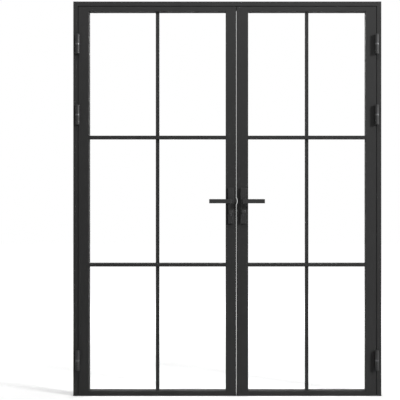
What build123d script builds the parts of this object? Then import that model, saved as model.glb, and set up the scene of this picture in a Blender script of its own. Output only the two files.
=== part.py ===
from build123d import *
import math
import os

# A glass double door in its own frame. Millimetres, Z up, the floor at Z 0 and the middle of the
# door's width at X 0. The front, with the hinges, is towards -Y, and Y 0 is the middle of the leaves.

# Frame: hollow extrusions with a stop that stands in behind the leaves
door_width = 1640.0
door_height = 2100.0
frame_face = 24.0
frame_wall = 2.0
stop_reach = 12.0
stop_depth = 22.0
stop_front_wall = 5.0
seal_gap = 3.0
seal_width = 3.0
seal_foot = 3.0
seal_relief = 0.3
fixing_hole_radius = 4.0
outer_fixing_inset = 300.0
inner_fixing_inset = 800.0
head_fixing_reach = 500.0

# Leaves: grooved extrusions, butt jointed, with the glass held in the grooves
leaf_depth = 45.0
leaf_wall = 2.0
edge_radius = 0.5
side_gap = 3.0
floor_gap = 1.5
meeting_gap = 2.5
meeting_x = 46.5
hinge_stile_face = 56.0
lock_stile_face = 55.0
meeting_stile_face = 62.0
top_rail_face = 26.0
bottom_rail_face = 26.3
ledge_slope_rise = 4.5
ledge_slope_run = 9.0
cross_bar_height = 18.0
rows_of_glass = 3
upright_bar_width = 18.0
upright_bar_depth = 23.0
groove_depth = 7.0
groove_width = 9.0
glass_thickness = 6.0
glass_bite = 5.0
gasket_reach = 6.2
gasket_lip = 0.5
plug_length = 8.0
brush_width = 5.0
brush_depth = 5.0
brush_floor_gap = 0.5
meeting_seal_y = 13.5
meeting_seal_width = 4.0
meeting_seal_proud = 0.9

# Barrel hinges on the front, three to a leaf, on the line of the side gap
low_hinge_rise = 192.0
middle_hinge_drop = 604.0
top_hinge_drop = 228.0
barrel_radius = 11.0
barrel_clearance = 0.5
knuckle_length = 48.5
barrel_end_radius = 3.5
barrel_groove_width = 2.0
barrel_groove_depth = 1.0
cap_groove_at = 40.0
collar_groove_at = 2.8
collar_pitch = 10.6
collar_grooves = 4
pin_radius = 6.0
pin_clearance = 0.05
pin_bore_depth = 39.0
pin_end_gap = 2.0
ring_height = 9.0
ring_chamfer = 0.6
wing_thickness = 2.0
wing_depth = 30.0
wing_height = 40.0

# Handle sets: a long plate each side, a lever of bent flat bar, and a profile cylinder below it
left_spindle_x = 18.5
right_spindle_x = 85.0
lever_z = 1037.0
cylinder_drop = 55.0
plate_width = 31.0
plate_height = 191.0
plate_above_lever = 71.0
plate_thickness = 10.0
plate_edge = 2.0
plate_screw_inset = 10.0
screw_radius = 2.5
screw_head_radius = 4.6
screw_head_depth = 2.6
screw_clearance = 0.25
lever_length = 119.0
lever_height = 22.0
lever_thickness = 11.0
lever_reach = 52.5
lever_bend = 5.0
lever_inner_bend = 1.5
lever_edge = 0.8
lever_foot_radius = 10.5
lever_foot_height = 3.0
lever_lift = 0.4
journal_radius = 8.0
journal_clearance = 0.05
spindle_side = 8.0
spindle_hole_radius = 9.0
cylinder_radius = 8.5
cylinder_web = 10.0
cylinder_web_drop = 24.5
cylinder_proud = 1.0
cylinder_clearance = 0.25
rotor_radius = 6.0
knob_radius = 10.5
knob_length = 13.5
knob_base = 4.0
knob_grip_width = 9.0
knob_lift = 0.4
cam_hub_radius = 7.4
cam_width = 9.4
cam_slot = 10.0
cam_tip_radius = 2.0
finger_width = 3.0
keyway_width = 2.2
keyway_height = 8.0
keyway_depth = 8.0

# Lock in the left leaf, with a rounded pad round its latch, and what it shuts into
case_bottom_z = 942.0
case_height = 128.0
case_thickness = 17.0
case_back_gap = 1.5
forend_width = 20.0
forend_thickness = 3.0
forend_length = 170.0
edge_plate_corner = 6.0
forend_middle_z = 1005.0
pad_height = 37.0
pad_proud = 5.5
lining_thickness = 2.0
keep_wall = 1.0
magnet_thickness = 3.0
latch_width = 12.0
latch_height = 18.0
latch_length = 23.7
latch_setback = 0.3
latch_throw = 10.0
dead_bolt_width = 12.0
dead_bolt_height = 14.0
dead_bolt_rise = 17.5
dead_bolt_setback = 0.5
dead_bolt_throw = 18.0
bolt_clearance = 0.3
notch_clearance = 0.8
notch_leg = 2.5
leg_clearance = 0.6
strike_length = 70.0
strike_bottom_z = 944.5

# Drive in the right leaf: a crank lifts a rod with the top bolt on it
drive_case_start = 17.4
rod_thickness = 4.0
rod_width = 6.0
rod_middle_shift = 12.0
top_bolt_radius = 6.0
top_bolt_length = 72.0
top_bolt_travel = 18.0
top_bolt_setback = 0.5
top_bolt_guide_clearance = 0.05
fork_height = 12.0
fork_outer = 17.0
fork_inner = 6.4
crank_pin_radius = 2.0
crank_plate = 3.6
crank_side_gap = 0.9
crank_clearance = 0.6
keeper_length = 60.0
keeper_width = 18.0
keeper_clearance = 0.6

# What follows from those sizes
leaf_front = -leaf_depth / 2
leaf_back = leaf_depth / 2
stop_front = leaf_back + seal_gap
frame_back = stop_front + stop_depth
rebate_x = door_width / 2 - frame_face
leaf_edge_x = rebate_x - side_gap
rebate_z = door_height - frame_face
leaf_top = rebate_z - side_gap
daylight_bottom = floor_gap + bottom_rail_face
daylight_height = leaf_top - top_rail_face - daylight_bottom
row_height = (daylight_height - (rows_of_glass - 1) * cross_bar_height) / rows_of_glass
hinge_x = rebate_x - side_gap / 2
hinge_y = leaf_front - barrel_radius - barrel_clearance
hinge_heights = (low_hinge_rise, door_height - middle_hinge_drop, door_height - top_hinge_drop)
strike_x = meeting_x + meeting_gap
cylinder_z = lever_z - cylinder_drop
plate_front = leaf_front - plate_thickness
plate_middle_z = lever_z + plate_above_lever - plate_height / 2
case_top_z = case_bottom_z + case_height
dead_bolt_z = cylinder_z + dead_bolt_rise
half_turn_swing = math.radians(45)
cam_reach = dead_bolt_throw / 2 / math.sin(half_turn_swing)
crank_reach = top_bolt_travel / 2 / math.sin(half_turn_swing)
pad_arc = ((pad_height / 2) ** 2 + pad_proud**2) / (2 * pad_proud)
rod_x = right_spindle_x - rod_middle_shift
magnet_face_x = meeting_x + pad_proud - latch_setback + latch_throw + bolt_clearance


def span_box(x, y, z):
    """A box from three (low, high) pairs."""
    size = [high - low for low, high in (x, y, z)]
    middle = [(high + low) / 2 for low, high in (x, y, z)]
    return Pos(*middle) * Box(*size)


def along_y(radius, low, high, x, z):
    """A round bar along Y at X and Z."""
    return Pos(x, (low + high) / 2, z) * Rot(90, 0, 0) * Cylinder(radius, high - low)


def along_z(radius, low, high, x, y):
    """A round bar along Z at X and Y."""
    return Pos(x, y, (low + high) / 2) * Cylinder(radius, high - low)


def group(parts):
    """Like pieces kept as separate solids of one node."""
    return Compound([solid for part in parts for solid in part.solids()])


def mirrored(part):
    """The same piece on the other side of the door's middle."""
    return part.mirror(Plane.YZ)


def to_back(part):
    """The same piece on the other face of the leaf."""
    return part.mirror(Plane.XZ)


def run_up(section, x, low, high, facing=1):
    """A section run up from low to high, its width going from X towards +X or -X."""
    plane = Plane(origin=(x, 0, low), x_dir=(facing, 0, 0), z_dir=(0, 0, 1))
    return extrude(plane * section, amount=high - low, dir=(0, 0, 1))


def run_across(section, z, low, high, facing=1):
    """A section run from X low to X high, its width going up or down from Z."""
    plane = Plane(origin=(low, 0, z), x_dir=(0, 0, facing), z_dir=(1, 0, 0))
    return extrude(plane * section, amount=high - low, dir=(1, 0, 0))


def frame_section():
    """Section of jamb and head: width from the wall side, a box with the stop leg behind the leaf.
    Depth is upright on the page, so the section serves both sides."""
    inner = frame_face + stop_reach
    outline = Polyline(
        (0, leaf_front),
        (frame_face, leaf_front),
        (frame_face, stop_front),
        (inner, stop_front),
        (inner, frame_back),
        (0, frame_back),
        close=True,
    )
    shape = make_face(outline)
    step = (frame_face, stop_front)
    outside = [v for v in shape.vertices() if (v.X - step[0]) ** 2 + (v.Y - step[1]) ** 2 > 1]
    shape = fillet(outside, edge_radius)
    box = (frame_face - 2 * frame_wall, frame_back - leaf_front - 2 * frame_wall)
    shape -= Pos(frame_face / 2, (frame_back + leaf_front) / 2) * Rectangle(*box)
    leg = (stop_reach, stop_depth - stop_front_wall - frame_wall)
    leg_middle = stop_front + stop_front_wall + leg[1] / 2
    shape -= Pos(inner - frame_wall - leg[0] / 2, leg_middle) * Rectangle(*leg)
    groove = Rectangle(seal_width, seal_foot, align=(Align.CENTER, Align.MIN))
    return shape - Pos(frame_face + stop_reach / 2, stop_front) * groove


def fixing_hole(z):
    """A hole across the jamb for a screw into the wall."""
    hole = Rot(0, 90, 0) * Cylinder(fixing_hole_radius, frame_face * 1.5)
    return Pos(-door_width / 2 + frame_face / 2, 0, z) * hole


def left_jamb():
    """The jamb runs to the top, and its section starts at the wall."""
    jamb = run_up(frame_section(), -door_width / 2, 0, door_height)
    for inset in (outer_fixing_inset, inner_fixing_inset):
        jamb -= fixing_hole(inset) + fixing_hole(door_height - inset)
    return jamb


def frame_head():
    """The head fits between the jambs, with its ends cut to clear their stops."""
    plane = Plane(origin=(-rebate_x, 0, door_height), x_dir=(0, 0, -1), z_dir=(1, 0, 0))
    head = extrude(plane * frame_section(), amount=2 * rebate_x, dir=(1, 0, 0))
    for side in (-1, 1):
        stop_end = sorted((side * (rebate_x - stop_reach), side * rebate_x))
        low_z = rebate_z - stop_reach - 1
        head -= span_box(stop_end, (stop_front, frame_back + 1), (low_z, door_height + 1))
        reach = (rebate_z - 1, door_height + 1)
        head -= along_z(fixing_hole_radius, *reach, side * head_fixing_reach, 0)
    slot = (rebate_z - 1, rebate_z + frame_wall)
    head -= keeper_block(slot)
    return head


def keeper_block(z):
    """Outline of the keeper that lies flush in the underside of the head."""
    half = keeper_length / 2
    block = span_box((rod_x - half, rod_x + half), (-keeper_width / 2, keeper_width / 2), z)
    return fillet(block.edges().filter_by(Axis.Z), edge_plate_corner)


def head_keeper():
    """The plate in the head that the top bolt shoots through."""
    plate = keeper_block((rebate_z, rebate_z + frame_wall))
    radius = top_bolt_radius + keeper_clearance
    return plate - along_z(radius, rebate_z - 1, door_height, rod_x, 0)


def frame_seals():
    """Rubber strips: a foot in the stop's groove and a bulb that all but meets the leaf."""
    middle = frame_face + stop_reach / 2
    foot = Pos(middle, stop_front + seal_foot / 2) * Rectangle(seal_width, seal_foot)
    bulb_depth = seal_gap - seal_relief
    bulb = Pos(middle, stop_front - bulb_depth / 2) * RectangleRounded(seal_width * 2, bulb_depth, 1)
    strip = foot + bulb
    side = run_up(strip, -door_width / 2, 0, rebate_z - stop_reach)
    plane = Plane(origin=(-rebate_x + stop_reach, 0, door_height), x_dir=(0, 0, -1), z_dir=(1, 0, 0))
    length = 2 * (rebate_x - stop_reach)
    top = extrude(plane * strip, amount=length, dir=(1, 0, 0))
    return group([side, mirrored(side), top])


def edge_section(face):
    """Section of a leaf's edge member: a chamber, and a glazing groove between two hollow lips."""
    shape = Pos(face / 2, 0) * RectangleRounded(face, leaf_depth, edge_radius)
    shape -= Pos(face - groove_depth / 2, 0) * Rectangle(groove_depth, groove_width)
    chamber = face - groove_depth - 2 * leaf_wall
    shape -= Pos(leaf_wall + chamber / 2, 0) * Rectangle(chamber, leaf_depth - 2 * leaf_wall)
    lip = (groove_depth - leaf_wall, (leaf_depth - groove_width) / 2 - 2 * leaf_wall)
    for side in (-1, 1):
        across = side * (leaf_depth / 2 - leaf_wall - lip[1] / 2)
        shape -= Pos(face - groove_depth + lip[0] / 2, across) * Rectangle(*lip)
    return shape


def bottom_rail_section():
    """Section of the bottom rail, front upwards: its front top edge slopes, to shed water."""
    half = leaf_depth / 2
    shape = edge_section(bottom_rail_face) - ledge_slope(bottom_rail_face, half)
    return shape + ledge_slope(bottom_rail_face - leaf_wall, half - leaf_wall)


def ledge_slope(x, y):
    """The triangle that the slope cuts off a corner at X and Y."""
    return make_face(Polyline((x, y), (x - ledge_slope_rise, y), (x, y - ledge_slope_run), close=True))


def cross_bar_section():
    """Section of a cross bar: grooves above and below, a hollow at front and back."""
    shape = RectangleRounded(cross_bar_height, leaf_depth, edge_radius)
    hollow = (cross_bar_height - 2 * leaf_wall, (leaf_depth - groove_width) / 2 - 2 * leaf_wall)
    for side in (-1, 1):
        shape -= Pos(side * (cross_bar_height - groove_depth) / 2, 0) * Rectangle(groove_depth, groove_width)
        shape -= Pos(0, side * (leaf_depth / 2 - leaf_wall - hollow[1] / 2)) * Rectangle(*hollow)
    return shape


def upright_bar_section():
    """Section of the slim upright bar, grooved on both sides."""
    shape = RectangleRounded(upright_bar_width, upright_bar_depth, edge_radius)
    for side in (-1, 1):
        shape -= Pos(side * (upright_bar_width - groove_depth) / 2, 0) * Rectangle(groove_depth, groove_width)
    return shape


class Leaf:
    """Where one leaf's members stand: hinge edge, free edge and the clear space between its stiles."""

    def __init__(self, hinge_edge, free_edge, free_face):
        self.hinge_edge = hinge_edge
        self.free_edge = free_edge
        self.inward = 1 if free_edge > hinge_edge else -1
        self.free_face = free_face
        ends = (hinge_edge + self.inward * hinge_stile_face, free_edge - self.inward * free_face)
        self.low, self.high = sorted(ends)
        self.middle = (self.low + self.high) / 2

    def hinge_stile(self):
        return run_up(edge_section(hinge_stile_face), self.hinge_edge, floor_gap, leaf_top, self.inward)

    def free_stile(self):
        return run_up(edge_section(self.free_face), self.free_edge, floor_gap, leaf_top, -self.inward)

    def top_rail(self):
        return run_across(edge_section(top_rail_face), leaf_top, self.low, self.high, -1)

    def bottom_rail(self):
        rail = run_across(bottom_rail_section(), floor_gap, self.low, self.high)
        return rail - self.brush_block(floor_gap - 1)

    def brush_block(self, bottom):
        half = brush_width / 2
        return span_box((self.low, self.high), (-half, half), (bottom, floor_gap + brush_depth))

    def bottom_brush(self):
        return self.brush_block(brush_floor_gap)

    def rows(self):
        """The equal clear heights between the rails and the cross bars."""
        lows = [daylight_bottom + i * (row_height + cross_bar_height) for i in range(rows_of_glass)]
        return [(low, low + row_height) for low in lows]

    def cross_bars(self):
        section = cross_bar_section()
        middles = [high + cross_bar_height / 2 for low, high in self.rows()[:-1]]
        return group([run_across(section, z, self.low, self.high) for z in middles])

    def lights(self):
        """The clear openings for glass, each as its X and Z spans."""
        half = upright_bar_width / 2
        columns = [(self.low, self.middle - half), (self.middle + half, self.high)]
        return [(column, row) for column in columns for row in self.rows()]

    def upright_bars(self):
        section = upright_bar_section()
        return group([run_up(section, self.middle, *row) for row in self.rows()])

    def panes(self):
        return group([grown_light(light, glass_bite, glass_thickness) for light in self.lights()])

    def gaskets(self):
        return group([gasket(light) for light in self.lights()])

    def plug(self, edge, face, facing, low):
        """A plastic plug that closes a stile's chamber."""
        ends = (edge + facing * leaf_wall, edge + facing * (face - groove_depth - leaf_wall))
        half = leaf_depth / 2 - leaf_wall
        return span_box(sorted(ends), (-half, half), (low, low + plug_length))

    def plugs(self):
        lows = (floor_gap, leaf_top - plug_length)
        hinge_side = [self.plug(self.hinge_edge, hinge_stile_face, self.inward, low) for low in lows]
        free_side = [self.plug(self.free_edge, self.free_face, -self.inward, low) for low in lows]
        return hinge_side + free_side


def grown_light(light, grow, thickness):
    """A clear opening made larger all round, as a slab in the middle of the leaf."""
    (left, right), (low, high) = light
    half = thickness / 2
    return span_box((left - grow, right + grow), (-half, half), (low - grow, high + grow))


def gasket(light):
    """A rubber channel round the edge of one pane, with a lip that shows beside the bars."""
    ring = grown_light(light, gasket_reach, groove_width)
    ring -= grown_light(light, -gasket_lip, groove_width * 2)
    return ring - grown_light(light, glass_bite, glass_thickness)


def barrel(bore_depth, bore_radius, grooves):
    """A turned hinge knuckle from its bearing face up: bored, grooved round, with a domed end."""
    outline = Polyline(
        (bore_radius, 0),
        (barrel_radius, 0),
        (barrel_radius, knuckle_length),
        (0, knuckle_length),
        (0, bore_depth),
        (bore_radius, bore_depth),
        close=True,
    )
    half = make_face(outline)
    half = fillet(half.vertices().sort_by(lambda corner: corner.X + corner.Y)[-1], barrel_end_radius)
    for low in grooves:
        groove = Rectangle(2 * barrel_groove_depth, barrel_groove_width)
        half -= Pos(barrel_radius, low + barrel_groove_width / 2) * groove
    return revolve(Plane.XZ * half, axis=Axis.Z)


def wing(bore_radius, low_x):
    """The flat that carries a knuckle, in the gap between leaf and jamb."""
    reach = barrel_radius + barrel_clearance + wing_depth
    base = (knuckle_length - wing_height) / 2
    plate = span_box((low_x, low_x + wing_thickness), (0, reach), (base, base + wing_height))
    return plate - Cylinder(bore_radius, 3 * knuckle_length)


def left_leaf_knuckles():
    """The upper half of each hinge, fixed to the leaf's edge."""
    bore = pin_radius + pin_clearance
    knuckle = barrel(pin_bore_depth, bore, [cap_groove_at])
    knuckle += wing(bore, side_gap / 2 - wing_thickness)
    return group([Pos(-hinge_x, hinge_y, z + ring_height / 2) * knuckle for z in hinge_heights])


def left_frame_knuckles():
    """The lower half of each hinge, fixed to the jamb, with the pin pressed into it. The grooves
    round it part the collars that set the height of the leaf."""
    grooves = [collar_groove_at + i * collar_pitch for i in range(collar_grooves)]
    knuckle = barrel(pin_bore_depth, pin_radius, grooves).mirror(Plane.XY)
    knuckle += wing(pin_radius, -side_gap / 2).mirror(Plane.XY)
    return group([Pos(-hinge_x, hinge_y, z - ring_height / 2) * knuckle for z in hinge_heights])


def hinge_pins():
    """The steel pin of each hinge, up through its ring into the leaf's knuckle."""
    pins = []
    for z in hinge_heights:
        low = z - ring_height / 2 - pin_bore_depth
        high = z + ring_height / 2 + pin_bore_depth - pin_end_gap
        pins.append(along_z(pin_radius, low, high, -hinge_x, hinge_y))
    return group(pins + [mirrored(pin) for pin in pins])


def hinge_rings():
    """The bright bearing ring between the two halves of each hinge."""
    ring = Cylinder(barrel_radius, ring_height)
    ring = chamfer(ring.edges().filter_by(GeomType.CIRCLE), ring_chamfer)
    ring -= Cylinder(pin_radius, ring_height)
    rings = [Pos(-hinge_x, hinge_y, z) * ring for z in hinge_heights]
    return group(rings + [mirrored(ring) for ring in rings])


def cylinder_outline(x, low, high, grow=0.0):
    """The outline of a profile cylinder along Y: a round over a narrower web."""
    round_part = along_y(cylinder_radius + grow, low, high, x, cylinder_z)
    half = cylinder_web / 2 + grow
    foot_z = cylinder_z - cylinder_web_drop + cylinder_web / 2
    web = span_box((x - half, x + half), (low, high), (foot_z, cylinder_z))
    return round_part + web + along_y(half, low, high, x, foot_z)


def handle_cuts(x):
    """Holes through a stile for the spindle, the cylinder and the plates' screws."""
    reach = (leaf_front - 1, leaf_back + 1)
    cuts = along_y(spindle_hole_radius, *reach, x, lever_z)
    cuts += cylinder_outline(x, *reach, cylinder_clearance)
    for z in plate_screw_heights():
        cuts += along_y(screw_radius + screw_clearance, *reach, x, z)
    return cuts


def plate_screw_heights():
    """Heights of the two screws that draw the plates together."""
    half = plate_height / 2 - plate_screw_inset
    return (plate_middle_z - half, plate_middle_z + half)


def front_plate(x):
    """The long plate on the front: blind to its screws, bored for the lever and the cylinder."""
    plate = Box(plate_width, plate_thickness, plate_height)
    outer = plate.faces().sort_by(Axis.Y)[0].edges()
    upright = plate.edges().filter_by(Axis.Y)
    plate = fillet(outer + upright, plate_edge)
    plate = Pos(x, (plate_front + leaf_front) / 2, plate_middle_z) * plate
    reach = (plate_front - 1, leaf_front + 1)
    plate -= along_y(journal_radius + journal_clearance, *reach, x, lever_z)
    plate -= cylinder_outline(x, *reach, cylinder_clearance)
    for z in plate_screw_heights():
        plate -= along_y(screw_radius, leaf_front - plate_thickness / 2, leaf_front + 1, x, z)
    return plate


def back_plate(x):
    """The plate on the back, countersunk for the two screws."""
    plate = to_back(front_plate(x))
    face = leaf_back + plate_thickness
    for z in plate_screw_heights():
        plate -= along_y(screw_radius + screw_clearance, leaf_back - 1, face + 1, x, z)
        plate -= screw_head(x, z)
    return plate


def screw_head(x, z):
    """A countersunk head flush with the back plate."""
    cone = Cone(screw_radius, screw_head_radius, screw_head_depth)
    middle = leaf_back + plate_thickness - screw_head_depth / 2
    return Pos(x, middle, z) * Rot(-90, 0, 0) * cone


def plate_screws(x):
    """The two long screws from the back plate through the stile into the front plate."""
    screws = []
    for z in plate_screw_heights():
        shank_end = leaf_back + plate_thickness - screw_head_depth
        shank = along_y(screw_radius, leaf_front - plate_thickness / 2, shank_end, x, z)
        screws.append(shank + screw_head(x, z))
    return group(screws)


def lever(x, facing):
    """A front lever: flat bar bent back to the plate, a round foot, and a journal in the plate."""
    half = lever_thickness / 2
    root = plate_front - lever_lift
    front = leaf_front - lever_reach
    tip = lever_length - half
    outline = Polyline(
        (-half, root),
        (-half, front),
        (tip, front),
        (tip, front + lever_thickness),
        (half, front + lever_thickness),
        (half, root),
        close=True,
    )
    flat = make_face(outline)
    corner = [v for v in flat.vertices() if abs(v.X + half) < 0.1 and abs(v.Y - front) < 0.1]
    flat = fillet(corner, lever_bend)
    inner_y = front + lever_thickness
    inner = [v for v in flat.vertices() if abs(v.X - half) < 0.1 and abs(v.Y - inner_y) < 0.1]
    flat = fillet(inner, lever_inner_bend)
    bar = extrude(flat, amount=lever_height / 2, both=True)
    ends = bar.faces().sort_by(Axis.X)[-1].edges()
    rims = bar.faces().filter_by(Plane.XY).edges().filter_by(Axis.X)
    bar = fillet(ends + rims, lever_edge)
    bar += along_y(lever_foot_radius, root - lever_foot_height, root, 0, 0)
    bar += along_y(journal_radius, root, leaf_front, 0, 0)
    bar -= span_box((-spindle_side / 2, spindle_side / 2), (root, leaf_front + 1), (-spindle_side / 2, spindle_side / 2))
    if facing < 0:
        bar = mirrored(bar)
    return Pos(x, 0, lever_z) * bar


def spindle(x):
    """The square bar that joins the two levers."""
    half = spindle_side / 2
    reach = plate_thickness + leaf_depth / 2 + lever_lift
    return span_box((x - half, x + half), (-reach, reach), (lever_z - half, lever_z + half))


def turn_knob(x, facing):
    """Knob, rotor and cam as they turn together, with the keyway in the back end."""
    knob_back = plate_front - cylinder_proud - knob_lift
    knob_front = knob_back - knob_length
    grip_start = knob_back - knob_base
    knob = along_y(knob_radius, knob_front, knob_back, 0, 0)
    rim = knob.edges().filter_by(GeomType.CIRCLE).sort_by(Axis.Y)[0]
    knob = fillet(rim, plate_edge)
    for side in (-1, 1):
        bite = knob_radius * 1.5
        middle = side * (bite + knob_grip_width / 2)
        knob -= along_y(bite, knob_front - 1, grip_start, 0, middle)
    rotor_back = -(plate_front - cylinder_proud)
    turn = knob + along_y(rotor_radius, knob_back, rotor_back, 0, 0)
    half = cam_width / 2
    turn += along_y(cam_hub_radius, -half, half, 0, 0)
    finger = span_box((-finger_width / 2, finger_width / 2), (-half, half), (0, cam_reach))
    finger += along_y(cam_tip_radius, -half, half, 0, cam_reach)
    turn += finger.rotate(Axis.Y, -facing * 45)
    keyway = (keyway_width / 2, keyway_height / 2)
    slot = span_box((-keyway[0], keyway[0]), (rotor_back - keyway_depth, rotor_back + 1), (-keyway[1], keyway[1]))
    return Pos(x, 0, cylinder_z) * (turn - slot)


def lock_cylinder(x):
    """The profile cylinder, bored for its rotor and cut away in the middle for the cam."""
    reach = -(plate_front - cylinder_proud)
    body = cylinder_outline(x, -reach, reach)
    body -= along_y(rotor_radius + journal_clearance, -reach - 1, reach + 1, x, cylinder_z)
    half = cam_slot / 2
    edge = cylinder_radius + 1
    cut_bottom = cylinder_z - cylinder_radius - cylinder_clearance
    return body - span_box((x - edge, x + edge), (-half, half), (cut_bottom, cylinder_z + edge))


def bolt_block(x, width, z, height, grow=0.0):
    """A bolt's outline along X, or its hole when grown."""
    half_y = width / 2 + grow
    half_z = height / 2 + grow
    return span_box(x, (-half_y, half_y), (z - half_z, z + half_z))


def dead_bolt_middle():
    """Height of the dead bolt's middle, its underside a rise above the cylinder."""
    return dead_bolt_z + dead_bolt_height / 2


def dead_bolt():
    """The dead bolt, with two legs that the cam's finger works between."""
    front = meeting_x - dead_bolt_setback
    notch_x = left_spindle_x - dead_bolt_throw / 2
    half_notch = cam_tip_radius + notch_clearance
    tail = notch_x - half_notch - notch_leg
    bolt = bolt_block((tail, front), dead_bolt_width, dead_bolt_middle(), dead_bolt_height)
    half = dead_bolt_width / 2
    legs_bottom = cylinder_z + cam_reach * math.cos(half_turn_swing) + leg_clearance
    legs = span_box((tail, notch_x + half_notch + notch_leg), (-half, half), (legs_bottom, dead_bolt_z))
    notch_z = (legs_bottom - 1, dead_bolt_z - 1)
    legs -= span_box((notch_x - half_notch, notch_x + half_notch), (-half - 1, half + 1), notch_z)
    return bolt + legs


def latch_bolt():
    """The spring latch, drawn back behind the pad, with its nose rounded."""
    front = meeting_x + pad_proud - latch_setback
    latch = bolt_block((front - latch_length, front), latch_width, lever_z, latch_height)
    nose = latch.faces().sort_by(Axis.X)[-1].edges().filter_by(Axis.Z)
    return fillet(nose, latch_width / 4)


def latch_hole(x):
    return bolt_block(x, latch_width, lever_z, latch_height, bolt_clearance)


def dead_bolt_hole(x):
    return bolt_block(x, dead_bolt_width, dead_bolt_middle(), dead_bolt_height, bolt_clearance)


def lock_case():
    """The case in the left leaf, with channels for the bolts and the cam."""
    back = meeting_x - lock_stile_face + groove_depth + leaf_wall + case_back_gap
    front = meeting_x - forend_thickness
    half = case_thickness / 2
    case = span_box((back, front), (-half, half), (case_bottom_z, case_top_z))
    case -= latch_hole((left_spindle_x + journal_radius + 1, front + 1))
    notch_x = left_spindle_x - dead_bolt_throw / 2
    leg_reach = cam_tip_radius + notch_clearance + notch_leg + bolt_clearance
    case -= dead_bolt_hole((notch_x - leg_reach, front + 1))
    legs_end = notch_x + dead_bolt_throw + leg_reach
    half_leg = dead_bolt_width / 2 + bolt_clearance
    legs_bottom = cylinder_z + cam_reach * math.cos(half_turn_swing)
    case -= span_box((notch_x - leg_reach, legs_end), (-half_leg, half_leg), (legs_bottom, dead_bolt_z))
    case -= along_y(journal_radius + journal_clearance, -half - 1, half + 1, left_spindle_x, lever_z)
    case -= cylinder_outline(left_spindle_x, -half - 1, half + 1, cylinder_clearance)
    sweep = cam_reach + cam_tip_radius + bolt_clearance
    return case - along_y(sweep, -cam_slot / 2, cam_slot / 2, left_spindle_x, cylinder_z)


def left_follower():
    """The turned follower in the lock that the spindle drives."""
    half = case_thickness / 2
    hub = along_y(journal_radius, -half, half, left_spindle_x, lever_z)
    return hub - square_hole(left_spindle_x, half + 1)


def square_hole(x, reach):
    half = spindle_side / 2
    return span_box((x - half, x + half), (-reach, reach), (lever_z - half, lever_z + half))


def forend_block():
    """Outline of the forend, flush in the leaf's edge."""
    half = forend_length / 2
    low = forend_middle_z - half
    x = (meeting_x - forend_thickness, meeting_x)
    block = span_box(x, (-forend_width / 2, forend_width / 2), (low, low + forend_length))
    return fillet(block.edges().filter_by(Axis.X), edge_plate_corner)


def forend():
    """The forend of the lock, with holes for both bolts."""
    x = (meeting_x - 2 * forend_thickness, meeting_x + 1)
    return forend_block() - latch_hole(x) - dead_bolt_hole(x)


def arc_slab(x, grow=0.0):
    """A slab across the leaf's depth whose free side is the pad's arc, standing out from X."""
    middle = x + pad_proud - pad_arc
    disc = along_y(pad_arc + grow, leaf_front, leaf_back, middle, lever_z)
    side = 2 * pad_arc
    return disc & span_box((x, x + side), (leaf_front, leaf_back), (lever_z - side, lever_z + side))


def latch_pad():
    """The rounded pad that stands out from the leaf's edge round the latch."""
    return arc_slab(meeting_x) - latch_hole((meeting_x - 1, meeting_x + 2 * pad_proud))


def latch_keep():
    """The lining of the hollow that the pad lies in, with a closed box behind it for the latch."""
    lining = arc_slab(strike_x, lining_thickness) - arc_slab(strike_x)
    front = strike_x + pad_proud
    back = magnet_face_x + magnet_thickness
    walls = bolt_block((front, back + keep_wall), latch_width, lever_z, latch_height, bolt_clearance + keep_wall)
    return lining + walls - arc_slab(strike_x) - latch_hole((strike_x - 1, back))


def keep_magnet():
    """The block magnet at the bottom of the keep's box, which draws the latch in."""
    x = (magnet_face_x, magnet_face_x + magnet_thickness)
    return bolt_block(x, latch_width, lever_z, latch_height, bolt_clearance)


def strike_block():
    """Outline of the strike plate, flush in the right leaf's edge."""
    x = (strike_x, strike_x + forend_thickness)
    z = (strike_bottom_z, strike_bottom_z + strike_length)
    block = span_box(x, (-forend_width / 2, forend_width / 2), z)
    return fillet(block.edges().filter_by(Axis.X), edge_plate_corner)


def strike_plate():
    """The plate in the right leaf's edge that the dead bolt shoots through."""
    return strike_block() - dead_bolt_hole((strike_x - 1, strike_x + 2 * forend_thickness))


def seal_heights():
    """The meeting seal runs below and above the latch pad."""
    half = pad_height / 2 + 1
    return [(floor_gap, lever_z - half), (lever_z + half, leaf_top)]


def meeting_seals():
    """Rubber strips in the left leaf's edge, behind the lock."""
    strips = []
    for z in seal_heights():
        half = meeting_seal_width / 2
        y = (meeting_seal_y - half, meeting_seal_y + half)
        strip = span_box((meeting_x, meeting_x + meeting_seal_proud), y, z)
        strips.append(strip + seal_slot(z))
    return group(strips)


def seal_slot(z):
    """The foot of the meeting seal, or its slot in the stile's wall."""
    half = meeting_seal_width / 4
    y = (meeting_seal_y - half, meeting_seal_y + half)
    return span_box((meeting_x - leaf_wall, meeting_x), y, z)


def left_lock_stile(leaf):
    stile = leaf.free_stile() - handle_cuts(left_spindle_x) - forend_block()
    for z in seal_heights():
        stile -= seal_slot(z)
    return stile


def right_meeting_stile(leaf):
    stile = leaf.free_stile() - handle_cuts(right_spindle_x) - strike_block()
    return stile - arc_slab(strike_x, lining_thickness)


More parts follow.
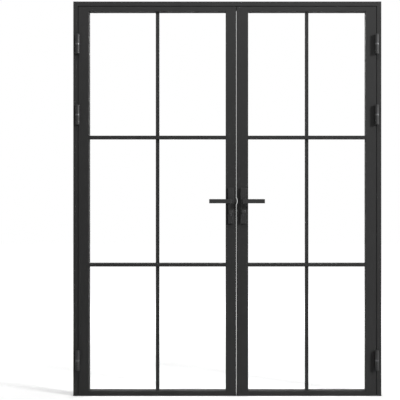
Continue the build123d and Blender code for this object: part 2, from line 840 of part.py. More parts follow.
def drive_case():
    """The case in the right leaf, hollow for the crank and the fork of the rod."""
    back = strike_x + meeting_stile_face - groove_depth - leaf_wall
    front = strike_x + drive_case_start
    half = case_thickness / 2
    case = span_box((front, back), (-half, half), (case_bottom_z, case_top_z))
    wall = leaf_wall / 2
    swing = top_bolt_travel / 2 + fork_height / 2 + 1
    hollow_x = (front + wall, back - wall)
    hollow_y = (-rod_thickness / 2 - bolt_clearance, half - wall)
    case -= span_box(hollow_x, hollow_y, (lever_z - swing, lever_z + swing))
    case -= along_y(journal_radius + journal_clearance, 0, half + 1, right_spindle_x, lever_z)
    case -= along_y(fork_inner, -half - 1, 0, right_spindle_x, lever_z)
    half_rod = (rod_width / 2 + bolt_clearance, rod_thickness / 2 + bolt_clearance)
    rod_slot = ((rod_x - half_rod[0], rod_x + half_rod[0]), (-half_rod[1], half_rod[1]))
    case -= span_box(*rod_slot, (lever_z, case_top_z + 1))
    case -= cylinder_outline(right_spindle_x, -half - 1, half + 1, cylinder_clearance)
    sweep = cam_reach + cam_tip_radius + bolt_clearance
    return case - along_y(sweep, -cam_slot / 2, cam_slot / 2, right_spindle_x, cylinder_z)


def right_crank():
    """The crank that the right levers turn: hub, arm and pin, the pin low at rest."""
    half = case_thickness / 2
    inner = rod_thickness / 2 + crank_side_gap
    hub = along_y(journal_radius, inner, half, 0, 0)
    arm_y = (inner, inner + crank_plate)
    arm = span_box((-crank_reach, 0), arm_y, (-crank_pin_radius, crank_pin_radius))
    pin = along_y(crank_pin_radius, -rod_thickness / 2, arm_y[1], -crank_reach, 0)
    crank = (hub + arm + pin).rotate(Axis.Y, -45)
    return Pos(right_spindle_x, 0, lever_z) * crank - square_hole(right_spindle_x, half + 1)


def top_bolt():
    """The round top bolt on its flat rod, with a fork at the foot for the crank's pin."""
    pin_z = lever_z - top_bolt_travel / 2
    half = rod_thickness / 2
    fork_x = (right_spindle_x - fork_outer, right_spindle_x - fork_inner)
    fork = span_box(fork_x, (-half, half), (pin_z - fork_height / 2, pin_z + fork_height / 2))
    pin_room = crank_pin_radius + crank_clearance
    deepest = right_spindle_x - crank_reach - pin_room
    fork -= span_box((deepest, fork_x[1] + 1), (-half - 1, half + 1), (pin_z - pin_room, pin_z + pin_room))
    bolt_top = leaf_top - top_bolt_setback
    bolt_bottom = bolt_top - top_bolt_length
    rod_span = (rod_x - rod_width / 2, rod_x + rod_width / 2)
    rod = span_box(rod_span, (-half, half), (pin_z + pin_room, bolt_bottom))
    bolt = along_z(top_bolt_radius, bolt_bottom, bolt_top, rod_x, 0)
    rim = bolt.edges().filter_by(GeomType.CIRCLE).sort_by(Axis.Z)[-1]
    return fork + rod + chamfer(rim, top_bolt_radius / 6)


def right_plugs(leaf):
    """The plugs of the right leaf, one of them the guide of the top bolt."""
    radius = top_bolt_radius + top_bolt_guide_clearance
    hole = along_z(radius, leaf_top - 2 * plug_length, leaf_top + 1, rod_x, 0)
    return group([plug - hole for plug in leaf.plugs()])


def frame_nodes():
    jamb = left_jamb()
    return {
        "left_jamb": jamb,
        "right_jamb": mirrored(jamb),
        "head": frame_head(),
        "head_keeper": head_keeper(),
        "frame_seals": frame_seals(),
        "left_frame_knuckles": left_frame_knuckles(),
        "right_frame_knuckles": mirrored(left_frame_knuckles()),
        "hinge_pins": hinge_pins(),
        "hinge_rings": hinge_rings(),
    }


def leaf_nodes(name, leaf):
    return {
        name + "_hinge_stile": leaf.hinge_stile(),
        name + "_top_rail": leaf.top_rail(),
        name + "_bottom_rail": leaf.bottom_rail(),
        name + "_cross_bars": leaf.cross_bars(),
        name + "_upright_bars": leaf.upright_bars(),
        name + "_panes": leaf.panes(),
        name + "_glazing_gaskets": leaf.gaskets(),
        name + "_floor_brush": leaf.bottom_brush(),
    }


def handle_nodes(name, x, facing):
    front = lever(x, facing)
    return {
        name + "_front_plate": front_plate(x),
        name + "_back_plate": back_plate(x),
        name + "_plate_screws": plate_screws(x),
        name + "_lock_cylinder": lock_cylinder(x),
        name + "_front_lever": front,
        name + "_back_lever": to_back(front),
        name + "_spindle": spindle(x),
        name + "_turn_knob": turn_knob(x, -facing),
    }


def all_nodes():
    left = Leaf(-leaf_edge_x, meeting_x, lock_stile_face)
    right = Leaf(leaf_edge_x, strike_x, meeting_stile_face)
    nodes = frame_nodes()
    nodes.update(leaf_nodes("left", left))
    nodes.update(leaf_nodes("right", right))
    nodes.update(handle_nodes("left", left_spindle_x, -1))
    nodes.update(handle_nodes("right", right_spindle_x, 1))
    knuckles = left_leaf_knuckles()
    nodes["left_leaf_knuckles"] = knuckles
    nodes["right_leaf_knuckles"] = mirrored(knuckles)
    nodes["left_lock_stile"] = left_lock_stile(left)
    nodes["left_stile_plugs"] = group(left.plugs())
    nodes["left_meeting_seals"] = meeting_seals()
    nodes["lock_case"] = lock_case()
    nodes["lock_follower"] = left_follower()
    nodes["lock_forend"] = forend()
    nodes["latch_pad"] = latch_pad()
    nodes["latch_bolt"] = latch_bolt()
    nodes["dead_bolt"] = dead_bolt()
    nodes["right_meeting_stile"] = right_meeting_stile(right)
    nodes["right_stile_plugs"] = right_plugs(right)
    nodes["latch_keep"] = latch_keep()
    nodes["keep_magnet"] = keep_magnet()
    nodes["strike_plate"] = strike_plate()
    nodes["drive_case"] = drive_case()
    nodes["drive_crank"] = right_crank()
    nodes["top_bolt"] = top_bolt()
    return nodes


os.makedirs("parts", exist_ok=True)
for node_name, shape in all_nodes().items():
    export_step(shape, "parts/" + node_name + ".step")
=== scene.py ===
import math
import random

import bpy
from mathutils import Matrix, Vector


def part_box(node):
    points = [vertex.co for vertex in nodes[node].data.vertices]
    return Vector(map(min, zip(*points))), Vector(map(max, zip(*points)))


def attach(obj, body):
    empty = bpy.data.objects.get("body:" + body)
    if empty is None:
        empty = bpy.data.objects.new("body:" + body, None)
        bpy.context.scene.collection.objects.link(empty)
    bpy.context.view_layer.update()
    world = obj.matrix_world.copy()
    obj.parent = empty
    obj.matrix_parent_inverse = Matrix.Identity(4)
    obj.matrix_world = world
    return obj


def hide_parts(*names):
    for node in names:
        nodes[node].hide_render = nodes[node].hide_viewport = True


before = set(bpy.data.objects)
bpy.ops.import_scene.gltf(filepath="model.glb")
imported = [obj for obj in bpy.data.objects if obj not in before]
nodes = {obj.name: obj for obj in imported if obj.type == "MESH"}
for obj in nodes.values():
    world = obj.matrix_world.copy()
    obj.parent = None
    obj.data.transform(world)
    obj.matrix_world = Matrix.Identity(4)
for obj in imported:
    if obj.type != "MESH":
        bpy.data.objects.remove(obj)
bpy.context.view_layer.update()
MM = 0.001

# The view: the door stands free in its frame on a studio floor and is seen straight on, a little
# right of its middle and at half its height, through a long lens set off centre.
jamb_low, jamb_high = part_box("left_jamb")
front_y = jamb_low.y
door_height = jamb_high.z
pixel_count = 400
pixel_size = 5.323 * MM
door_middle_column = 227.3
ground_row = 396.0
eye_column = 232.0
eye_row = 196.0
eye_distance = 4.5
eye_reach = 100.0
film_width = 36.0

picture_width = pixel_count * pixel_size
eye_x = (eye_column - door_middle_column) * pixel_size
eye_z = (ground_row - eye_row) * pixel_size
camera_data = bpy.data.cameras.new("camera")
camera_data.sensor_width = film_width
camera_data.lens = film_width * eye_distance / picture_width
camera_data.shift_x = (pixel_count / 2 - eye_column) / pixel_count
camera_data.shift_y = (eye_row - pixel_count / 2) / pixel_count
camera_data.clip_end = eye_reach
camera = bpy.data.objects.new("camera", camera_data)
camera.location = (eye_x, front_y - eye_distance, eye_z)
camera.rotation_euler = (math.radians(90), 0, 0)
bpy.context.scene.collection.objects.link(camera)
bpy.context.scene.camera = camera
bpy.context.scene.view_settings.view_transform = "Standard"


# The studio's pale floor and white surroundings, made up of plain colours. Both look white
# wherever they are seen or mirrored; the floor still takes the shadow of the door, its glow is
# darkened as painted shade in the narrow slit under the door and close round its feet, and very
# little light comes from the surroundings.
floor_reach = 14.0
floor_tone = 0.55
floor_lift = 0.51
floor_far_lift = 1.0
floor_lift_start = 0.9
floor_lift_end = 3.5
# How far the painted shade in the floor's glow reaches, and the occlusion at which it is full and at which
# it ends.
painted_shade_reach = 0.03
painted_shade_darkest = 0.5
painted_shade_clear = 0.68
surroundings_light = 0.035


class Field:
    """A value that changes over a surface, so that plain arithmetic on it adds the nodes."""

    def __init__(self, tree, socket):
        self.tree = tree
        self.socket = socket

    def combined(self, operation, left, right, clamp=False):
        node = self.tree.nodes.new("ShaderNodeMath")
        node.operation = operation
        node.use_clamp = clamp
        for place, value in enumerate((left, right)):
            if isinstance(value, Field):
                self.tree.links.new(value.socket, node.inputs[place])
            else:
                node.inputs[place].default_value = value
        return Field(self.tree, node.outputs[0])

    def __add__(self, other):
        return self.combined("ADD", self, other)

    def __radd__(self, other):
        return self.combined("ADD", other, self)

    def __sub__(self, other):
        return self.combined("SUBTRACT", self, other)

    def __rsub__(self, other):
        return self.combined("SUBTRACT", other, self)

    def __mul__(self, other):
        return self.combined("MULTIPLY", self, other)

    def __rmul__(self, other):
        return self.combined("MULTIPLY", other, self)

    def __truediv__(self, other):
        return self.combined("DIVIDE", self, other)

    def clamped(self):
        return self.combined("ADD", self, 0.0, clamp=True)


class Shader:
    """The node tree of one finish or of the world."""

    def __init__(self, tree):
        self.tree = tree
        tree.nodes.clear()

    def node(self, kind, settings=None, sockets=None, out=0):
        """Adds a node: its settings first, then the values or links of its sockets."""
        made = self.tree.nodes.new(kind)
        for name, value in (settings or {}).items():
            if name == "stops":
                set_stops(made.color_ramp, value)
            else:
                setattr(made, name, value)
        for name, value in (sockets or {}).items():
            if isinstance(value, Field):
                self.tree.links.new(value.socket, made.inputs[name])
            else:
                made.inputs[name].default_value = value
        return Field(self.tree, made.outputs[out]) if made.outputs else None


def set_stops(ramp, stops):
    """Sets a colour ramp from (place, grey or colour) pairs."""
    while len(ramp.elements) < len(stops):
        ramp.elements.new(1.0)
    for element, (place, value) in zip(ramp.elements, stops):
        element.position = place
        element.color = (*value, 1) if isinstance(value, tuple) else (value, value, value, 1)


def new_finish(name):
    material = bpy.data.materials.new(name)
    material.use_nodes = True
    return material, Shader(material.node_tree)


def seen_rays(shader):
    """One where a ray comes from the eye, a mirror or through glass, and zero where it lights."""
    seen = shader.node("ShaderNodeLightPath", out="Is Camera Ray")
    seen = seen + shader.node("ShaderNodeLightPath", out="Is Glossy Ray")
    return (seen + shader.node("ShaderNodeLightPath", out="Is Transmission Ray")).clamped()


def lay_floor():
    mesh = bpy.data.meshes.new("floor")
    reach = floor_reach
    corners = [(-reach, -reach, 0), (reach, -reach, 0), (reach, reach, 0), (-reach, reach, 0)]
    mesh.from_pydata(corners, [], [(0, 1, 2, 3)])
    floor = bpy.data.objects.new("floor", mesh)
    bpy.context.scene.collection.objects.link(floor)
    material, shader = new_finish("pale_floor")
    matt = shader.node("ShaderNodeBsdfDiffuse", sockets={"Color": (floor_tone, floor_tone, floor_tone, 1)})
    # Painted shade: an ambient occlusion mask takes the glow away where the floor is hemmed in, under the
    # leaves and at the feet of the frame.
    painted_shade_openness = shader.node("ShaderNodeAmbientOcclusion", sockets={"Distance": painted_shade_reach}, out="AO")
    painted_shade_openness = ((painted_shade_openness - painted_shade_darkest) / (painted_shade_clear - painted_shade_darkest)).clamped()
    place = shader.node("ShaderNodeTexCoord", out="Object")
    away = shader.node("ShaderNodeVectorMath", {"operation": "LENGTH"}, {0: place}, out="Value")
    far = ((away - floor_lift_start) / (floor_lift_end - floor_lift_start)).clamped()
    lift = far * (floor_far_lift - floor_lift) + floor_lift
    glow = shader.node("ShaderNodeEmission", sockets={"Strength": seen_rays(shader) * painted_shade_openness * lift})
    both = shader.node("ShaderNodeAddShader", sockets={0: matt, 1: glow})
    shader.node("ShaderNodeOutputMaterial", sockets={"Surface": both})
    mesh.materials.append(material)


def light_surroundings():
    world = bpy.data.worlds.new("studio")
    world.use_nodes = True
    bpy.context.scene.world = world
    shader = Shader(world.node_tree)
    seen = seen_rays(shader)
    strength = seen * (1 - surroundings_light) + surroundings_light
    back = shader.node("ShaderNodeBackground", sockets={"Color": (1, 1, 1, 1), "Strength": strength})
    shader.node("ShaderNodeOutputWorld", sockets={"Surface": back})


lay_floor()
light_surroundings()


# The main lamp is a soft box far off on the right in front of the door and above it. A long one
# over the door lights the upper faces, and a weak one behind it grazes the edges that face back.
# No lamp shows in the picture, not even through the glass.
main_lamp_way = Vector((1.57, -1.0, 0.67))
main_lamp_distance = 8.0
main_lamp_size = (1.0, 1.0)
main_lamp_power = 723.0
top_lamp_place = Vector((-0.1, -1.1, 3.5))
top_lamp_size = (2.4, 0.4)
top_lamp_power = 37.0
back_lamp_place = Vector((-0.3, 3.4, 3.0))
back_lamp_size = (1.5, 1.5)
back_lamp_power = 75.0


def hang_lamp(name, place, aim, size, power):
    data = bpy.data.lights.new(name, "AREA")
    data.shape = "RECTANGLE"
    data.size, data.size_y = size
    data.energy = power
    lamp = bpy.data.objects.new(name, data)
    lamp.location = place
    lamp.rotation_euler = (aim - place).to_track_quat("-Z", "Y").to_euler()
    lamp.visible_camera = False
    lamp.visible_transmission = False
    bpy.context.scene.collection.objects.link(lamp)


door_middle = Vector((0, 0, door_height / 2))
main_place = door_middle + main_lamp_way.normalized() * main_lamp_distance
hang_lamp("main_lamp", main_place, door_middle, main_lamp_size, main_lamp_power)
hang_lamp("top_lamp", top_lamp_place, door_middle, top_lamp_size, top_lamp_power)
hang_lamp("back_lamp", back_lamp_place, door_middle, back_lamp_size, back_lamp_power)


# The frame: two jambs with the head between them, hollow extrusions butted at the corners and
# screwed to the wall. They have a dark powder coat baked on, which flows out like the peel of an
# orange and has a very fine grain.
smooth_angle = math.radians(28)
coat_tone = 0.026
coat_cloud = 90 * MM
coat_grain = 0.35 * MM
coat_peel = 2.2 * MM
cloud_detail = 4.0
grain_detail = 2.0
peel_detail = 1.0
cloud_in_tone = 0.24
grain_in_tone = 0.16
least_tone = 0.80
tone_range = 2
peel_in_height = 0.7
grain_in_height = 0.3
coat_bump = 0.35
cloud_in_sheen = 0.10
grain_in_sheen = 0.06
middle_sheen = 0.08


def dress(material, *names):
    """Gives CAD nodes a finish and rounds off the shading of their curved faces."""
    for name in names:
        node = nodes[name]
        for place in node.material_slots:
            place.material = material
        mesh = node.data
        mesh.polygons.foreach_set("use_smooth", [True] * len(mesh.polygons))
        mesh.set_sharp_from_angle(angle=smooth_angle)


def noise(shader, place, scale, detail):
    return shader.node("ShaderNodeTexNoise", {"noise_dimensions": "3D"},
                       {"Vector": place, "Scale": scale, "Detail": detail})


def powder_coat(name, tone, roughness, gloss, depth):
    """A baked coat: a little cloudy in tone and sheen, with its peel and grain as bumps."""
    material, shader = new_finish(name)
    place = shader.node("ShaderNodeTexCoord", out="Object")
    cloud = noise(shader, place, 1 / coat_cloud, cloud_detail)
    grain = noise(shader, place, 1 / coat_grain, grain_detail)
    peel = noise(shader, place, 1 / coat_peel, peel_detail)
    level = cloud * cloud_in_tone + grain * grain_in_tone + least_tone
    stops = [(0.0, 0.0), (1.0, tone * tone_range)]
    colour = shader.node("ShaderNodeValToRGB", {"stops": stops}, {"Fac": level / tone_range})
    height = peel * peel_in_height + grain * grain_in_height
    bumps = shader.node("ShaderNodeBump", sockets={
        "Height": height, "Strength": coat_bump, "Distance": depth})
    sheen = (cloud * cloud_in_sheen + grain * grain_in_sheen + (roughness - middle_sheen)).clamped()
    surface = shader.node("ShaderNodeBsdfPrincipled", sockets={
        "Base Color": colour, "Roughness": sheen, "Normal": bumps, "Specular IOR Level": gloss})
    shader.node("ShaderNodeOutputMaterial", sockets={"Surface": surface})
    return material


frame_coat = powder_coat("frame_powder_coat", coat_tone, roughness=0.65, gloss=0.1, depth=0.02 * MM)
dress(frame_coat, "left_jamb", "right_jamb", "head")


# The head keeper is a small plate of brushed stainless steel let into the head over the right
# leaf, bored for the top bolt. Two countersunk screws with hex sockets hold it.
keeper_screw_inset = 7 * MM
small_screw_radius = 3.8 * MM
screw_foot_share = 0.97
screw_foot_depth = 0.2 * MM
screw_side_share = 0.3
screw_rim_share = 0.93
screw_proud = 0.4 * MM
socket_share = 0.42
socket_mouth_share = 1.16
socket_bevel = 0.1 * MM
socket_floor = 0.03 * MM
turned_steps = 24
lines_up = 14.0
lines_across = 900.0
lines_detail = 3.0
lines_dark_share = 0.75
lines_dark_end = 0.3
lines_bright_end = 0.7
lines_bump = 0.2
lines_depth = 0.02 * MM
lines_in_sheen = 0.2


class Piece:
    """Collects closed solids, which then become one mesh that rides on a body of the part."""

    def __init__(self):
        self.points = []
        self.faces = []

    def add(self, points, faces, place=Matrix.Identity(4)):
        start = len(self.points)
        self.points += [place @ Vector(point) for point in points]
        self.faces += [tuple(start + corner for corner in face) for face in faces]

    def turned(self, rings, place):
        """A turned solid from rings of (radius, height, whether six-sided), with both ends closed."""
        points, faces = [], []
        for radius, height, six_sided in rings:
            for step in range(turned_steps):
                angle = 2 * math.pi * step / turned_steps
                reach = radius
                if six_sided:
                    reach /= math.cos(angle % (math.pi / 3) - math.pi / 6)
                points.append((reach * math.cos(angle), reach * math.sin(angle), height))
        for first in range(0, turned_steps * (len(rings) - 1), turned_steps):
            for step in range(turned_steps):
                after = (step + 1) % turned_steps
                faces.append((first + step, first + after, first + turned_steps + after,
                              first + turned_steps + step))
        last = turned_steps * (len(rings) - 1)
        faces.append(tuple(reversed(range(turned_steps))))
        faces.append(tuple(range(last, last + turned_steps)))
        self.add(points, faces, place)

    def block(self, low, high):
        """A plain bar between two corners."""
        points = [(x, y, z) for x in (low[0], high[0]) for y in (low[1], high[1]) for z in (low[2], high[2])]
        faces = [(0, 1, 3, 2), (4, 6, 7, 5), (0, 4, 5, 1), (2, 3, 7, 6), (0, 2, 6, 4), (1, 5, 7, 3)]
        self.add(points, faces)

    def made(self, name, material, body, slot):
        mesh = bpy.data.meshes.new(name)
        mesh.from_pydata(self.points, [], self.faces)
        mesh.materials.append(material)
        mesh.polygons.foreach_set("use_smooth", [True] * len(mesh.polygons))
        mesh.set_sharp_from_angle(angle=smooth_angle)
        piece = bpy.data.objects.new(name, mesh)
        bpy.context.scene.collection.objects.link(piece)
        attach(piece, body)
        return piece


def towards(point, way):
    """Places a turned solid at a point, standing up along a direction."""
    return Matrix.Translation(point) @ Vector(way).to_track_quat("Z", "Y").to_matrix().to_4x4()


def flat_screw(piece, point, way, radius=small_screw_radius):
    """A countersunk head that all but fills its plate's hole: a bevelled rim and a hex socket."""
    socket = radius * socket_share
    piece.turned([
        (radius * screw_foot_share, -screw_foot_depth, False),
        (radius, screw_proud * screw_side_share, False),
        (radius * screw_rim_share, screw_proud, False),
        (socket * socket_mouth_share, screw_proud, True),
        (socket, screw_proud - socket_bevel, True),
        (socket, socket_floor, True)], towards(point, way))


def bare_metal(name, colour, roughness):
    """Bare metal with fine lines left by brushing or drawing, which run up the piece."""
    material, shader = new_finish(name)
    place = shader.node("ShaderNodeTexCoord", out="Object")
    stretched = shader.node("ShaderNodeMapping", sockets={
        "Vector": place, "Scale": (lines_across, lines_across, lines_up)})
    lines = noise(shader, stretched, 1.0, lines_detail)
    dark = tuple(lines_dark_share * part for part in colour)
    stops = [(lines_dark_end, dark), (lines_bright_end, colour)]
    tint = shader.node("ShaderNodeValToRGB", {"stops": stops}, {"Fac": lines})
    height = shader.node("ShaderNodeBump", sockets={
        "Height": lines, "Strength": lines_bump, "Distance": lines_depth})
    sheen = lines * lines_in_sheen + (roughness - lines_in_sheen / 2)
    surface = shader.node("ShaderNodeBsdfPrincipled", sockets={
        "Base Color": tint, "Metallic": 1.0, "Roughness": sheen, "Normal": height})
    shader.node("ShaderNodeOutputMaterial", sockets={"Surface": surface})
    return material


brushed_steel = bare_metal("brushed_steel", colour=(0.60, 0.60, 0.61), roughness=0.34)
zinc_plate = bare_metal("zinc_plate", colour=(0.55, 0.56, 0.60), roughness=0.45)
dress(brushed_steel, "head_keeper")
keeper_low, keeper_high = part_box("head_keeper")
keeper_screws = Piece()
for x in (keeper_low.x + keeper_screw_inset, keeper_high.x - keeper_screw_inset):
    flat_screw(keeper_screws, (x, 0, keeper_low.z), (0, 0, -1))
keeper_screws.made("head_keeper_screws", zinc_plate, "frame", "zinc_steel")


# Each leaf is put together from slim hollow extrusions under the same coat: stiles at the sides,
# rails at the top and the foot, and two cross bars with an upright bar that divide the glass. The
# members are butted against each other, and grooves along them take the panes.
leaf_members = ["hinge_stile", "top_rail", "bottom_rail", "cross_bars", "upright_bars"]
dress(frame_coat, "left_lock_stile", "right_meeting_stile")
for side in ("left_", "right_"):
    dress(frame_coat, *[side + member for member in leaf_members])


# The panes are clear float glass, 6 mm thick, held all round in the grooves of the members. From
# the front they are all but invisible: they mirror a little, carry a trace of smear, and take a
# faint share of the light that falls through them.
glass_index = 1.5
glass_smear = 0.010
smear_scale = 3.0
smear_detail = 1.0
glass_shade = (0.97, 0.98, 0.975, 1)


def clear_glass():
    """Clear glass, through which the lamps' light also falls straight onto what is behind it."""
    material, shader = new_finish("clear_glass")
    place = shader.node("ShaderNodeTexCoord", out="Object")
    smear = (noise(shader, place, smear_scale, smear_detail) * glass_smear).clamped()
    glass = shader.node("ShaderNodeBsdfPrincipled", sockets={
        "Base Color": (1.0, 1.0, 1.0, 1), "Roughness": smear, "IOR": glass_index,
        "Transmission Weight": 1.0})
    open_way = shader.node("ShaderNodeBsdfTransparent", sockets={"Color": glass_shade})
    shadow = shader.node("ShaderNodeLightPath", out="Is Shadow Ray")
    surface = shader.node("ShaderNodeMixShader", sockets={0: shadow, 1: glass, 2: open_way})
    shader.node("ShaderNodeOutputMaterial", sockets={"Surface": surface})
    return material


dress(clear_glass(), "left_panes", "right_panes")


# The seals round the frame and between the leaves, and the gaskets that hold the glass, are
# strips of soft black rubber pressed into their grooves. A dull bloom lies on the rubber.
bloom_detail = 3.0
bloom_low_end = 0.3
bloom_high_end = 0.8
bloom_bump = 0.2
bloom_depth = 0.05 * MM
bloom_in_sheen = 0.2
dull_gloss = 0.3


def dull_black(name, low, high, roughness, size):
    """Rubber or moulded plastic: black, between two tones, with a bloom or pits of a given size."""
    material, shader = new_finish(name)
    place = shader.node("ShaderNodeTexCoord", out="Object")
    bloom = noise(shader, place, 1 / size, bloom_detail)
    stops = [(bloom_low_end, low), (bloom_high_end, high)]
    colour = shader.node("ShaderNodeValToRGB", {"stops": stops}, {"Fac": bloom})
    height = shader.node("ShaderNodeBump", sockets={
        "Height": bloom, "Strength": bloom_bump, "Distance": bloom_depth})
    sheen = bloom * bloom_in_sheen + (roughness - bloom_in_sheen / 2)
    surface = shader.node("ShaderNodeBsdfPrincipled", sockets={
        "Base Color": colour, "Roughness": sheen, "Normal": height, "Specular IOR Level": dull_gloss})
    shader.node("ShaderNodeOutputMaterial", sockets={"Surface": surface})
    return material


rubber = dull_black("seal_rubber", low=0.008, high=0.020, roughness=0.7, size=8 * MM)
dress(rubber, "frame_seals", "left_meeting_seals", "left_glazing_gaskets", "right_glazing_gaskets")


# The plugs that close the ends of the stiles are moulded from hard black plastic and pushed in.
# Their faces keep the fine spark texture of the mould.
moulded_plastic = dull_black("moulded_plastic", low=0.010, high=0.016, roughness=0.5, size=0.9 * MM)
dress(moulded_plastic, "left_stile_plugs", "right_stile_plugs")


# A brush strip under each leaf closes the gap over the floor. Black nylon bristles stand in a
# plastic back strip, which slides into the groove in the bottom rail.
brush_back_height = 2.2 * MM
brush_back_sink = 0.15 * MM
bristle_radius = 0.22 * MM
bristle_tip_radius = bristle_radius * 0.8
bristle_pitch = 0.95 * MM
bristle_rows = 4
bristle_stray = 0.25 * MM
bristle_unevenness = 2
bristle_faces = [(0, 1, 2, 3), (7, 6, 5, 4), (0, 4, 5, 1), (1, 5, 6, 2), (2, 6, 7, 3), (3, 7, 4, 0)]


def floor_brush(side, body):
    low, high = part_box(side + "_floor_brush")
    brush = Piece()
    brush.block((low.x, low.y, high.z - brush_back_height), (high.x, high.y, high.z))
    chance = random.Random(side)
    reach = bristle_radius + bristle_stray
    count = int((high.x - low.x - 2 * reach) / bristle_pitch)
    for row in range(bristle_rows):
        root_y = low.y + reach + (high.y - low.y - 2 * reach) * row / (bristle_rows - 1)
        for step in range(count):
            root_x = low.x + reach + bristle_radius + bristle_pitch * (step + 0.5 * (row % 2))
            lean_x, lean_y = (chance.uniform(-bristle_stray, bristle_stray) for way in "xy")
            tip_z = low.z + chance.uniform(0, bristle_unevenness) * bristle_stray
            root_z = high.z - brush_back_height + brush_back_sink
            points = []
            for x, y, z, radius in ((root_x, root_y, root_z, bristle_radius),
                                    (root_x + lean_x, root_y + lean_y, tip_z, bristle_tip_radius)):
                points += [(x + radius, y, z), (x, y + radius, z), (x - radius, y, z), (x, y - radius, z)]
            brush.add(points, bristle_faces)
    strip = brush.made(side + "_bristle_brush", bristle_nylon, body, "dark_plastic")
    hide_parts(side + "_floor_brush")


bristle_nylon = dull_black("bristle_nylon", low=0.012, high=0.030, roughness=0.5, size=0.6 * MM)
floor_brush("left", "left_leaf")
floor_brush("right", "right_leaf")


# Three barrel hinges carry each leaf. Their knuckles and wings are turned and folded steel under
# a smoother coat than the frame's, the pins are bare, and turned and blackened rings part the
# knuckles. Countersunk screws hold the wings on the jambs and the leaves.
wing_screw_radius = 3.6 * MM
wing_screw_places = [(-14.0 * MM, 14.0 * MM), (0.5 * MM, 21.0 * MM), (-14.0 * MM, 42.0 * MM)]
leaf_wing_face = 795.0 * MM
jamb_wing_face = 794.0 * MM
hinge_heights = [192.0 * MM, 1496.0 * MM, 1872.0 * MM]

knuckle_coat = powder_coat("knuckle_powder_coat", coat_tone, roughness=0.48, gloss=0.24, depth=0.015 * MM)
ring_black = bare_metal("ring_black", colour=(0.10, 0.10, 0.104), roughness=0.42)
for side in ("left", "right"):
    dress(knuckle_coat, side + "_frame_knuckles", side + "_leaf_knuckles")
dress(brushed_steel, "hinge_pins")
dress(ring_black, "hinge_rings")
jamb_screws = Piece()
for side, way in (("left", -1), ("right", 1)):
    leaf_screws = Piece()
    for height in hinge_heights:
        for y, rise in wing_screw_places:
            on_leaf = (way * leaf_wing_face, y, height + rise)
            on_jamb = (way * jamb_wing_face, y, height - rise)
            flat_screw(leaf_screws, on_leaf, (way, 0, 0), wing_screw_radius)
            flat_screw(jamb_screws, on_jamb, (-way, 0, 0), wing_screw_radius)
    leaf_screws.made(side + "_hinge_screws", zinc_plate, side + "_leaf", "zinc_steel")
jamb_screws.made("jamb_hinge_screws", zinc_plate, "frame", "zinc_steel")


# A long plate lies on the front and the back of each lock stile, cast in zinc, with a coat a
# little smoother than the frame's. Two long screws with countersunk heads and hex sockets go in
# from the back plate and draw the pair together, so that the front shows none.
plate_screw_shank = 2.5 * MM
plate_screw_head = 4.6 * MM
plate_screw_head_depth = 2.6 * MM
plate_screw_socket = 1.6 * MM
plate_screw_socket_mouth = plate_screw_socket * 1.12
plate_screw_socket_bevel = 0.15 * MM
plate_screw_socket_depth = 1.9 * MM

plate_coat = powder_coat("plate_powder_coat", tone=0.028, roughness=0.40, gloss=0.15, depth=0.015 * MM)
for side in ("left", "right"):
    dress(plate_coat, side + "_front_plate", side + "_back_plate")
    low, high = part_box(side + "_plate_screws")
    screws = Piece()
    head_end = high.y - low.y
    head_start = head_end - plate_screw_head_depth
    for z in (low.z + plate_screw_head, high.z - plate_screw_head):
        screws.turned([
            (plate_screw_shank, 0, False),
            (plate_screw_shank, head_start, False),
            (plate_screw_head, head_end, False),
            (plate_screw_socket_mouth, head_end, True),
            (plate_screw_socket, head_end - plate_screw_socket_bevel, True),
            (plate_screw_socket, head_end - plate_screw_socket_depth, True)],
            towards(((low.x + high.x) / 2, low.y, z), (0, 1, 0)))
    long_screws = screws.made(side + "_long_screws", zinc_plate, side + "_leaf", "zinc_steel")
    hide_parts(side + "_plate_screws")


# The levers are cast and bent, front and back on one square steel spindle, and have a glossier
# coat where hands polish it. A small grub screw under each neck holds the lever on its spindle.
grub_radius = 2.4 * MM
grub_from_plate = 17.5 * MM

lever_coat = powder_coat("lever_powder_coat", tone=0.005, roughness=0.36, gloss=0.42, depth=0.01 * MM)
for side in ("left", "right"):
    dress(lever_coat, side + "_front_lever", side + "_back_lever")
    dress(zinc_plate, side + "_spindle")
    plate_low, plate_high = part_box(side + "_front_plate")
    grubs = Piece()
    for face in ("front", "back"):
        low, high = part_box(side + "_" + face + "_lever")
        neck_y = high.y - grub_from_plate if face == "front" else low.y + grub_from_plate
        flat_screw(grubs, ((plate_low.x + plate_high.x) / 2, neck_y, low.z), (0, 0, -1), grub_radius)
    grubs.made(side + "_grub_screws", zinc_plate, side + "_lever", "zinc_steel")


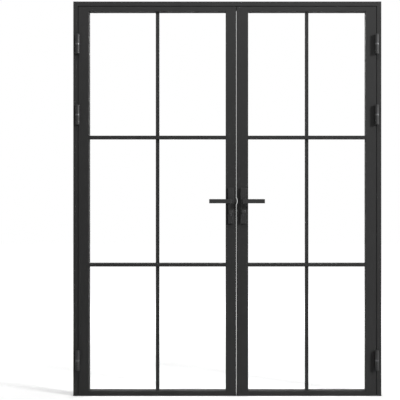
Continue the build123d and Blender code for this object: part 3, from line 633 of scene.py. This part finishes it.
# Under each lever a round cylinder runs through the stile, brass plated black, and a small thumb
# turn of cast metal on its front works the bolts without a key.
cylinder_black = bare_metal("cylinder_black", colour=(0.05, 0.05, 0.052), roughness=0.35)
knob_coat = powder_coat("knob_powder_coat", tone=0.020, roughness=0.35, gloss=0.4, depth=0.015 * MM)
dress(cylinder_black, "left_lock_cylinder", "right_lock_cylinder")
dress(knob_coat, "left_turn_knob", "right_turn_knob")


# The lock sits in the left leaf's stile: a zinc plated case with its follower, a sprung latch
# bolt and a dead bolt, behind a brushed steel forend. Two small screws fix the forend to the
# stile, and a larger one through it holds the cylinder.
forend_screw_inset = 8 * MM
cylinder_screw_radius = 4.2 * MM

dress(zinc_plate, "lock_case", "lock_follower")
dress(brushed_steel, "lock_forend", "latch_bolt", "dead_bolt")
dress(plate_coat, "latch_pad")
forend_low, forend_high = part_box("lock_forend")
forend_screws = Piece()
for z in (forend_low.z + forend_screw_inset, forend_high.z - forend_screw_inset):
    flat_screw(forend_screws, (forend_high.x, 0, z), (1, 0, 0))
cylinder_low, cylinder_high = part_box("left_lock_cylinder")
cylinder_screw_z = (cylinder_low.z + cylinder_high.z) / 2
flat_screw(forend_screws, (forend_high.x, 0, cylinder_screw_z), (1, 0, 0), cylinder_screw_radius)
forend_screws.made("forend_screws", zinc_plate, "left_leaf", "zinc_steel")


# The right leaf holds the other half: a steel strike plate for the dead bolt, fixed by two small
# screws, a magnetic keep for the latch, and a drive that its own lever cranks to throw a bolt up
# into the head.
strike_screw_rises = [7.5 * MM, 31.5 * MM]
strike_screw_radius = 3.2 * MM

dress(zinc_plate, "drive_case", "drive_crank")
dress(brushed_steel, "strike_plate", "keep_magnet", "top_bolt")
dress(plate_coat, "latch_keep")
strike_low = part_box("strike_plate")[0]
strike_screws = Piece()
for rise in strike_screw_rises:
    flat_screw(strike_screws, (strike_low.x, 0, strike_low.z + rise), (-1, 0, 0), strike_screw_radius)
strike_screws.made("strike_screws", zinc_plate, "right_leaf", "zinc_steel")
